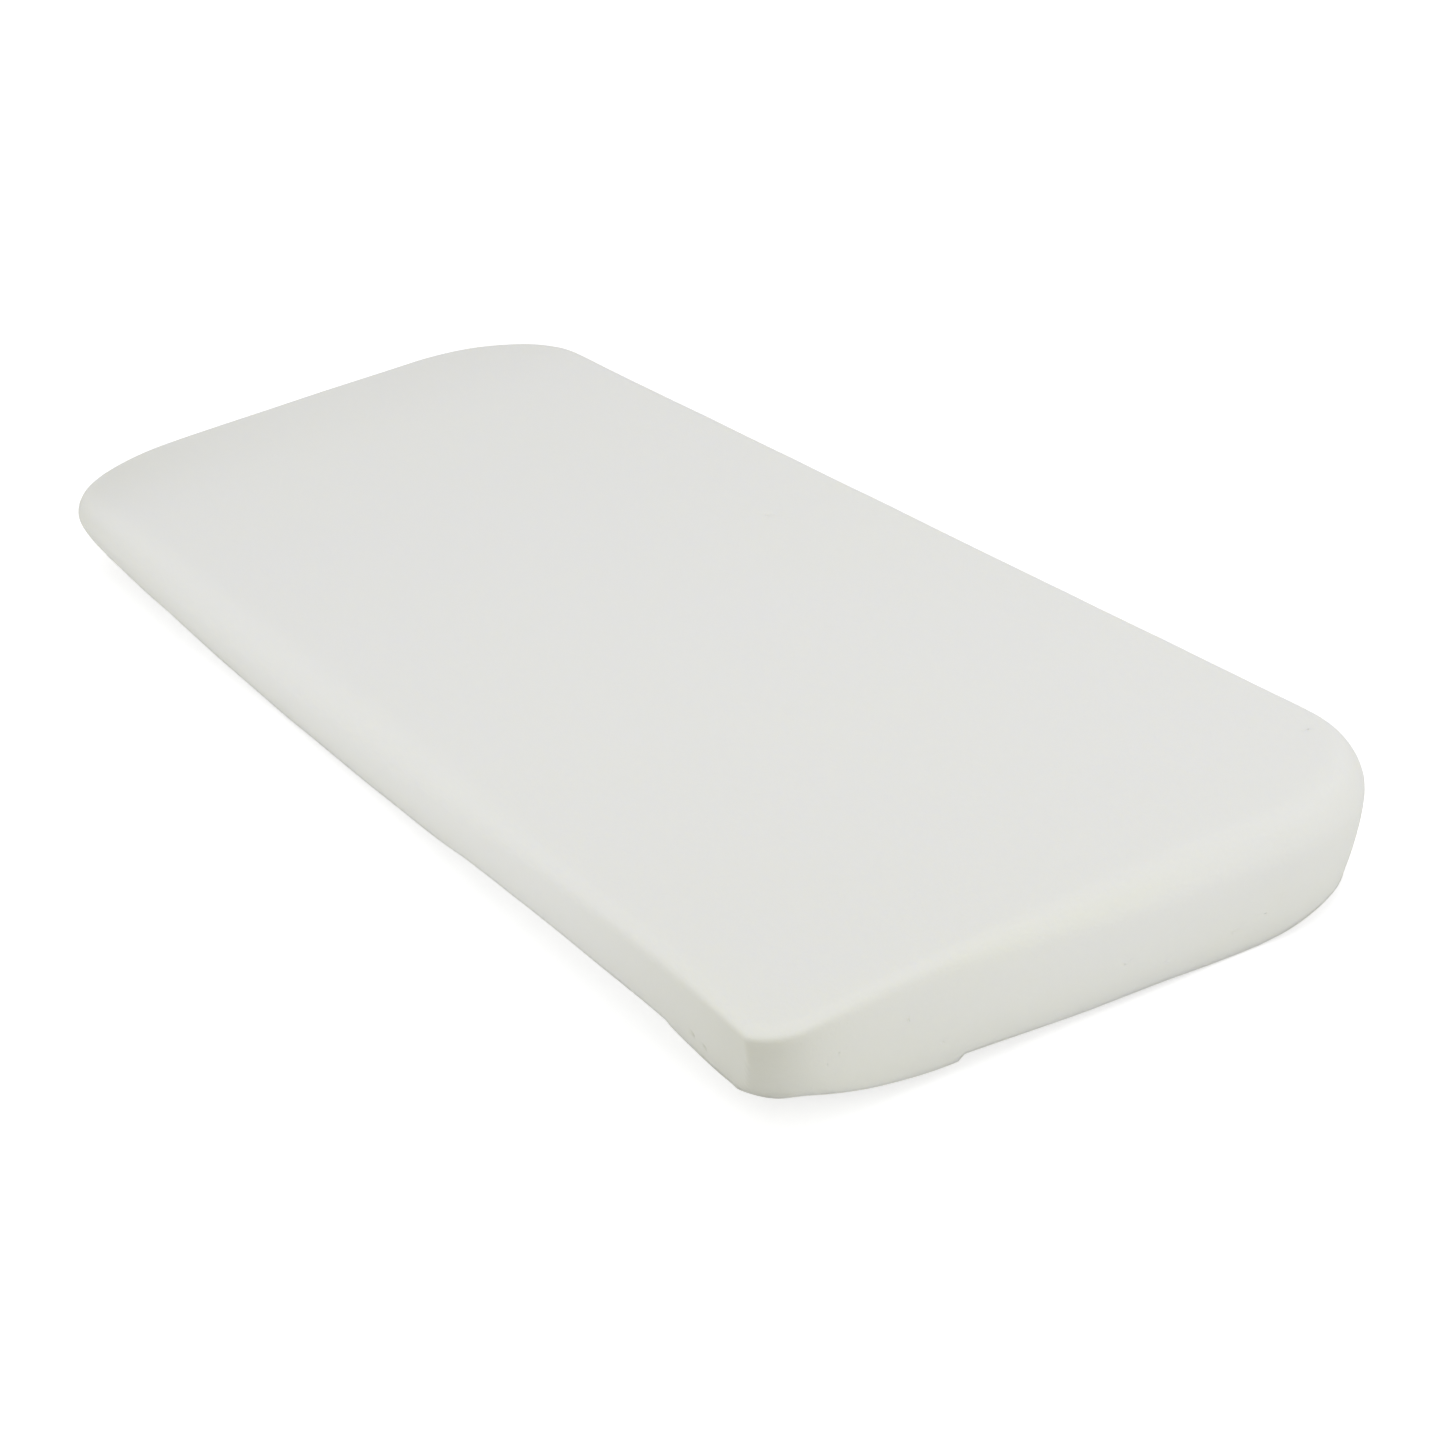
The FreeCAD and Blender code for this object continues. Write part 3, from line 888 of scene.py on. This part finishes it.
class MATTRESS_OT_foam_moulding(Operator):
    """Builds the moulded foam body, with its rounded top edge and trimmed, leaning sides"""
    bl_idname = "mattress.foam_moulding"
    bl_label = "Foam moulding"

    SIDE_ROWS = 9
    ROUNDING_STEPS = 9
    TOP_RINGS = (4 * MM, 6 * MM)
    UNDERSIDE_RINGS = (2 * MM, 3 * MM, 4 * MM, 5 * MM, 6 * MM, 8 * MM, 10 * MM)
    DIMPLE_DEPTH = 0.6      # as a share of its width
    SMOOTH_ANGLE = 59       # in degrees: the tight corner's crease stays soft

    def execute(self, context):
        scene = context.scene
        form = Form(scene.mattress_shape)
        s = form.s
        body = blank_slab(form, "foam_moulding", s.thickness)
        pick_rim(body, s.thickness)
        round_edges(s.top_rounding, self.ROUNDING_STEPS)
        pick_level(body, s.thickness, upwards=True)
        for ring in self.TOP_RINGS:
            bpy.ops.mesh.inset(thickness=ring, depth=0)
        pick_level(body, 0.0, upwards=False)
        for ring in self.UNDERSIDE_RINGS:
            bpy.ops.mesh.inset(thickness=ring, depth=0)
        cut_columns(form, s.column_spacing)
        cut_rows([form.wall_top * i / self.SIDE_ROWS for i in range(1, self.SIDE_ROWS)])
        settle_part(body, form.settle)
        for from_left, height, width in NEAR_PINHOLES:
            place = (form.half_length, from_left * MM - form.half_width, height * MM)
            press_pinhole(body, Vector(place), width * MM)
        for from_near, height, width in LEFT_PINHOLES:
            place = (form.half_length - from_near * MM, -form.half_width, height * MM)
            press_dimple(body, Vector(place), width * MM, width * MM * self.DIMPLE_DEPTH)
        for from_near, from_left, width in TOP_PINHOLES:
            place = (
                form.half_length - from_near * MM, from_left * MM - form.half_width, s.thickness)
            press_pinhole(body, Vector(place), width * MM)
        drop_slivers(body)
        material = foam_material(
            "moulded foam skin", scene.mattress_finish, cell_strength=0.25,
            glow=scene.mattress_finish.glow)
        nodes = ("moulded_skin", "memory_foam_layer", "bond_film", "support_foam_layer")
        finish_piece(form, body, nodes, material, self.SMOOTH_ANGLE)
        sharpen_foot(body)
        return {"FINISHED"}


class MATTRESS_OT_underside_panel(Operator):
    """Builds the flat skin on the underside, which the mattress rests on"""
    bl_idname = "mattress.underside_panel"
    bl_label = "Underside panel"

    EDGE_ROUNDING = 0.5 * MM
    ROUNDING_STEPS = 3
    RINGS = (6 * MM, 10 * MM)
    SMOOTH_ANGLE = 40

    def execute(self, context):
        scene = context.scene
        form = Form(scene.mattress_shape)
        s = form.s
        panel = blank_slab(form, "underside_panel", s.panel_thickness)
        pick_rim(panel, 0.0)
        round_edges(self.EDGE_ROUNDING, self.ROUNDING_STEPS)
        for height, upwards in ((0.0, False), (s.panel_thickness, True)):
            pick_level(panel, height, upwards)
            for ring in self.RINGS:
                bpy.ops.mesh.inset(thickness=ring, depth=0)
        cut_columns(form, s.column_spacing * 2, fine=False)

        def place(point):
            x, y, z = point
            edge = form.trim(x, y)
            x, y = form.plan(x, y, form.lean(edge), extra=form.bevel_reach(edge))
            return Vector((x, y, form.warp(x, y, z)))

        settle_part(panel, place)
        material = foam_material(
            "underside foam skin", scene.mattress_finish, cell_strength=0.3, glow=0.0)
        finish_piece(form, panel, ("underside_skin",), material, self.SMOOTH_ANGLE)
        return {"FINISHED"}


class MATTRESS_OT_flash_strip(Operator):
    """Builds the thin, uneven strip of flash that the trimming left along the lower edge"""
    bl_idname = "mattress.flash_strip"
    bl_label = "Flash strip"

    WIDTH = 2.5 * MM
    LEAST_STAND = 0.35      # as a share of the most that it stands out
    RAGGED_SIZE = 34 * MM   # of the uneven stretches along it
    SMOOTH_ANGLE = 40

    def execute(self, context):
        scene = context.scene
        form = Form(scene.mattress_shape)
        s = form.s
        strip = blank_slab(form, "flash_strip", s.flash_thickness)
        for height, upwards in ((0.0, False), (s.flash_thickness, True)):
            pick_level(strip, height, upwards)
            bpy.ops.mesh.inset(thickness=self.WIDTH, depth=0)
            bpy.ops.mesh.delete(type="ONLY_FACE")
        pick(strip, "edges", lambda edge: len(edge.link_faces) == 1)
        bpy.ops.mesh.bridge_edge_loops()
        cut_columns(form, s.column_spacing)

        def place(point):
            x, y, z = point
            depth, _, _ = form.outline(x, y)
            ragged = 0.5 + 0.5 * form.wave(x, y, 0.0, self.RAGGED_SIZE)
            share = self.LEAST_STAND + (1 - self.LEAST_STAND) * ease(ragged)
            stand = s.flash_stand * share
            outer = clamp(1 - depth / self.WIDTH)
            rim = form.rim(x, y, stand * outer)
            return rim + Vector((0, 0, z - s.flash_thickness / 2))

        settle_part(strip, place)
        material = foam_material(
            "flash skin", scene.mattress_finish, cell_strength=0.2, glow=0.0)
        finish_piece(form, strip, ("trimmed_flash",), material, self.SMOOTH_ANGLE)
        return {"FINISHED"}


# ---------------------------------------------------------------------------------------------
# Studio
# ---------------------------------------------------------------------------------------------

def add_camera(studio):
    """Adds the camera, aimed over the mattress's middle, then stepped aside and rolled."""
    a, e, roll = studio.azimuth, studio.elevation, studio.roll
    back = Vector((math.sin(a) * math.cos(e), -math.cos(a) * math.cos(e), math.sin(e)))
    right = (-back).cross(Vector((0, 0, 1))).normalized()
    up = right.cross(-back)
    rolled_right = right * math.cos(roll) + up * math.sin(roll)
    rolled_up = up * math.cos(roll) - right * math.sin(roll)
    place = Vector((0, 0, studio.aim_height)) + back * studio.distance
    place += rolled_right * studio.pan + rolled_up * studio.tilt
    data = bpy.data.cameras.new("studio_camera")
    data.lens = studio.lens
    data.sensor_width = 36
    camera = bpy.data.objects.new("studio_camera", data)
    bpy.context.scene.collection.objects.link(camera)
    turn = Matrix((rolled_right, rolled_up, back)).transposed()
    camera.matrix_world = Matrix.Translation(place) @ turn.to_4x4()
    bpy.context.scene.camera = camera


def add_softbox(name, place, target, size, power):
    """Adds a soft, rectangular lamp that shines from its place towards a target."""
    data = bpy.data.lights.new(name, "AREA")
    data.shape = "RECTANGLE"
    data.size, data.size_y = size
    data.energy = power
    lamp = bpy.data.objects.new(name, data)
    bpy.context.scene.collection.objects.link(lamp)
    lamp.location = place
    direction = Vector(target) - Vector(place)
    lamp.rotation_euler = direction.to_track_quat("-Z", "Y").to_euler()


def floor_material(studio):
    """Pale floor that keeps the mattress's shadow and looks white to the camera."""
    material = bpy.data.materials.new("studio floor")
    material.use_nodes = True
    tree = material.node_tree
    tree.nodes.clear()
    link = tree.links.new
    dimmer = [part * studio.floor_shade for part in studio.floor]
    paper = node(tree, "ShaderNodeBsdfDiffuse", (-300, 100), Color=(*studio.floor, 1))
    shaded = node(tree, "ShaderNodeBsdfDiffuse", (-300, -40), Color=(*dimmer, 1))
    lift = node(tree, "ShaderNodeEmission", (-300, -180), Strength=studio.floor_lift)
    both = node(tree, "ShaderNodeAddShader", (-80, 0))
    link(shaded.outputs[0], both.inputs[0])
    link(lift.outputs[0], both.inputs[1])
    rays = node(tree, "ShaderNodeLightPath", (-300, 360))
    choice = node(tree, "ShaderNodeMixShader", (140, 100))
    link(rays.outputs["Is Camera Ray"], choice.inputs[0])
    link(paper.outputs[0], choice.inputs[1])
    link(both.outputs[0], choice.inputs[2])
    out = node(tree, "ShaderNodeOutputMaterial", (340, 100))
    link(choice.outputs[0], out.inputs["Surface"])
    return material


def sky_world(studio):
    """Even light all round, seen as white."""
    world = bpy.data.worlds.new("studio sky")
    world.use_nodes = True
    tree = world.node_tree
    tree.nodes.clear()
    link = tree.links.new
    rays = node(tree, "ShaderNodeLightPath", (-400, 0))
    strength = node(tree, "ShaderNodeMix", (-200, 0), A=studio.sky, B=1.0)
    strength.data_type = "FLOAT"
    link(rays.outputs["Is Camera Ray"], strength.inputs["Factor"])
    background = node(tree, "ShaderNodeBackground", (0, 0), Color=(1, 1, 1, 1))
    link(strength.outputs["Result"], background.inputs["Strength"])
    out = node(tree, "ShaderNodeOutputWorld", (200, 0))
    link(background.outputs[0], out.inputs["Surface"])
    return world


class MATTRESS_OT_studio(Operator):
    """Adds the floor, the soft lamps, the even sky and the camera"""
    bl_idname = "mattress.studio"
    bl_label = "Studio"

    # Name, place, target, size and the setting for its power, in metres.
    SOFTBOXES = (
        ("left_softbox", (-0.5, -2.1, 0.42), (0.0, 0.0, 0.0), (1.6, 0.6), "left_lamp"),
        ("right_softbox", (2.1, 0.8, 0.42), (0.2, 0.0, 0.0), (1.8, 0.6), "right_lamp"),
        ("top_softbox", (0.4, 0.15, 1.5), (0.1, 0.0, 0.0), (1.2, 1.2), "top_lamp"),
    )

    def execute(self, context):
        scene = context.scene
        studio = scene.mattress_studio
        leave_edit_mode()
        bpy.ops.object.select_all(action="DESELECT")
        bpy.ops.mesh.primitive_plane_add(size=studio.floor_size, location=(0, 0, 0))
        floor = context.object
        floor.name = "studio_floor"
        floor.data.materials.append(floor_material(studio))
        scene.world = sky_world(studio)
        for name, place, target, size, power in self.SOFTBOXES:
            add_softbox(name, place, target, size, getattr(studio, power))
        add_camera(studio)
        scene.view_settings.view_transform = "Standard"
        return {"FINISHED"}


class MATTRESS_PT_builder(Panel):
    """Lists the mattress's pieces and settings"""
    bl_label = "Moulded foam mattress"
    bl_idname = "MATTRESS_PT_builder"
    bl_space_type = "VIEW_3D"
    bl_region_type = "UI"
    bl_category = "Mattress"

    def draw(self, context):
        layout = self.layout
        for operator in PIECE_OPERATORS:
            layout.operator(operator.bl_idname)
        layout.operator(MATTRESS_OT_studio.bl_idname)
        for group in (
            context.scene.mattress_shape, context.scene.mattress_finish,
            context.scene.mattress_studio,
        ):
            column = layout.box().column()
            for name in group.bl_rna.properties.keys():
                if name not in ("rna_type", "name"):
                    column.prop(group, name)


PIECE_OPERATORS = (
    MATTRESS_OT_foam_moulding, MATTRESS_OT_underside_panel, MATTRESS_OT_flash_strip,
)
CLASSES = (
    MattressShape, FoamFinish, StudioSetup, *PIECE_OPERATORS, MATTRESS_OT_studio,
    MATTRESS_PT_builder,
)


def register():
    for cls in CLASSES:
        bpy.utils.register_class(cls)
    bpy.types.Scene.mattress_shape = PointerProperty(type=MattressShape)
    bpy.types.Scene.mattress_finish = PointerProperty(type=FoamFinish)
    bpy.types.Scene.mattress_studio = PointerProperty(type=StudioSetup)


def unregister():
    del bpy.types.Scene.mattress_studio
    del bpy.types.Scene.mattress_finish
    del bpy.types.Scene.mattress_shape
    for cls in reversed(CLASSES):
        bpy.utils.unregister_class(cls)


def main():
    register()
    bpy.ops.mattress.foam_moulding()
    bpy.ops.mattress.underside_panel()
    bpy.ops.mattress.flash_strip()
    bpy.ops.mattress.studio()


if __name__ == "__main__":
    main()
